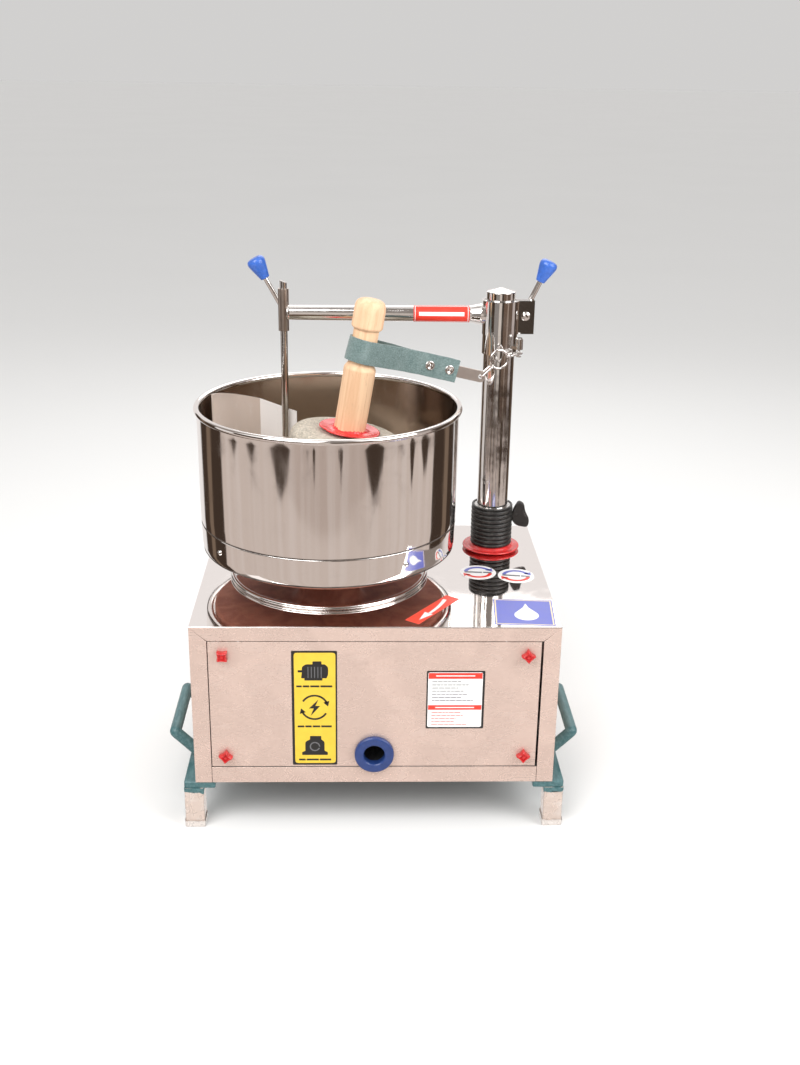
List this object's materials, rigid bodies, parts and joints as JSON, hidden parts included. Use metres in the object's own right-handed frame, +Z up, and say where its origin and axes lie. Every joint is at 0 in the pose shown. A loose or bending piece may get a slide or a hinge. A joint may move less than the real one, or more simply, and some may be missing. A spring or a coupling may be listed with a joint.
{
  "type": "tabletop wet grinder",
  "caption": "Electric stone wet grinder: sheet cabinet on tube legs, turning stainless drum with a granite roller and wooden handle, post with scraper arm.",
  "frame": {"origin": "on the floor under the middle of the cabinet", "axes": "+Z up, front panel faces -Y, post stands at +X"},
  "size_m": [0.528, 0.3678, 0.6786],
  "materials": {
    "teal_paint": "brushed on enamel, chipped at the edges",
    "film_wrapped_steel": "steel under loose protective film",
    "foot_plastic": "cloudy soft plastic",
    "grey_paint": "satin",
    "cabinet_sheet": "satin stainless sheet with handling marks",
    "mirror_sheet": "mirror polished sheet",
    "drum_steel": "mirror polished spun sheet",
    "polished_steel": "polished",
    "rod_steel": "drawn bar, satin",
    "blade_steel": "bright satin sheet",
    "red_plastic": "moulded, slightly rough",
    "blue_plastic": "moulded",
    "sticker_film": "printed film",
    "black_rubber": "matt with worn ribs",
    "black_plastic": "moulded",
    "granite": "dressed, fine speckle",
    "red_oxide_paint": "primer, matt",
    "plain_steel": "turned",
    "cast_case": "cast, painted",
    "worm_bronze": "cut teeth",
    "turned_wood": "sanded, unvarnished",
    "suede_strap": "napped split leather"
  },
  "bodies": {
    "chassis": {"side_rails": "teal_paint", "cross_members": "grey_paint", "legs": "film_wrapped_steel", "leg_caps": "foot_plastic", "mount_plate": "grey_paint", "side_handles": "teal_paint", "side_panels": "cabinet_sheet", "top_plate": "mirror_sheet", "front_frame": "cabinet_sheet", "back_frame": "cabinet_sheet", "front_panel": "cabinet_sheet", "back_panel": "cabinet_sheet", "panel_knobs": "red_plastic", "cable_grommet": "blue_plastic", "guard_ring": "polished_steel", "labels": "sticker_film", "post_socket": "plain_steel", "post_flange": "red_plastic", "post_boot": "black_rubber", "post_tube": "polished_steel", "post_cap": "polished_steel", "stop_collar": "polished_steel", "strap": "suede_strap", "strap_rivets": "polished_steel", "strap_link": "polished_steel", "tether_chain": "polished_steel", "gearbox_housing": "cast_case", "gearbox_lid": "cast_case", "bearings": "plain_steel", "drive_belt": "black_rubber", "motor_housing": "grey_paint", "motor_capacitor": "black_plastic"},
    "wing_screw": {"wing_knob": "black_plastic"},
    "arm": {"arm_clamp": "polished_steel", "arm_tube": "polished_steel", "arm_label": "sticker_film", "rod_sleeve": "polished_steel", "clamp_bolt": "polished_steel"},
    "clamp_handle": {"clamp_lever": "polished_steel", "clamp_lever_knob": "blue_plastic"},
    "lock_handle": {"rod_lock_lever": "polished_steel", "rod_lock_knob": "blue_plastic"},
    "scraper": {"scraper_rod": "rod_steel", "scraper_blade": "blade_steel"},
    "drum": {"drum_wall": "drum_steel", "drum_pan": "drum_steel", "pan_rivets": "drum_steel", "bed_stone": "granite", "turntable": "red_oxide_paint", "output_shaft": "plain_steel", "worm_wheel": "worm_bronze"},
    "worm": {"worm_shaft": "plain_steel", "gearbox_pulley": "plain_steel"},
    "rotor": {"motor_rotor": "plain_steel", "motor_pulley": "plain_steel"},
    "roller": {"roller_stone": "granite", "stone_collar": "red_plastic", "wood_handle": "turned_wood"}
  },
  "joints": [
    {"name": "drum_spin", "type": "hinge", "parent": "chassis", "child": "drum", "pos_m": [-0.06, 0, 0.324], "axis": [0, 0, 1], "continuous": true},
    {"name": "roller_spin", "type": "hinge", "parent": "chassis", "child": "roller", "pos_m": [-0.034, 0, 0.472], "axis": [0.1616, 0, 0.9869], "continuous": true},
    {"name": "worm_spin", "type": "hinge", "parent": "chassis", "child": "worm", "pos_m": [-0.0006, 0.098, 0.152], "axis": [0, 1, 0], "continuous": true},
    {"name": "motor_spin", "type": "hinge", "parent": "chassis", "child": "rotor", "pos_m": [0.095, 0.098, 0.14], "axis": [0, 1, 0], "continuous": true},
    {"name": "arm_height", "type": "slide", "parent": "chassis", "child": "arm", "axis": [0, 0, 1], "range_m": [0, 0.014]},
    {"name": "clamp_turn", "type": "hinge", "parent": "arm", "child": "clamp_handle", "pos_m": [0.1955, 0.104, 0.606], "axis": [0, 1, 0], "range_deg": [0, 100]},
    {"name": "scraper_height", "type": "slide", "parent": "arm", "child": "scraper", "axis": [0, 0, 1], "range_m": [0, 0.09]},
    {"name": "rod_lock_turn", "type": "hinge", "parent": "arm", "child": "lock_handle", "pos_m": [-0.12, 0.103, 0.606], "axis": [0, 1, 0], "range_deg": [-100, 0]},
    {"name": "wing_turn", "type": "hinge", "parent": "chassis", "child": "wing_screw", "pos_m": [0.195, 0.09, 0.329], "axis": [1, 0, 0], "range_deg": [-180, 180]}
  ],
  "couplings": [
    {"joint": "worm_spin", "follows": "drum_spin", "ratio": 10},
    {"joint": "motor_spin", "follows": "drum_spin", "ratio": 12.575},
    {"joint": "roller_spin", "follows": "drum_spin", "ratio": 1.1755}
  ]
}
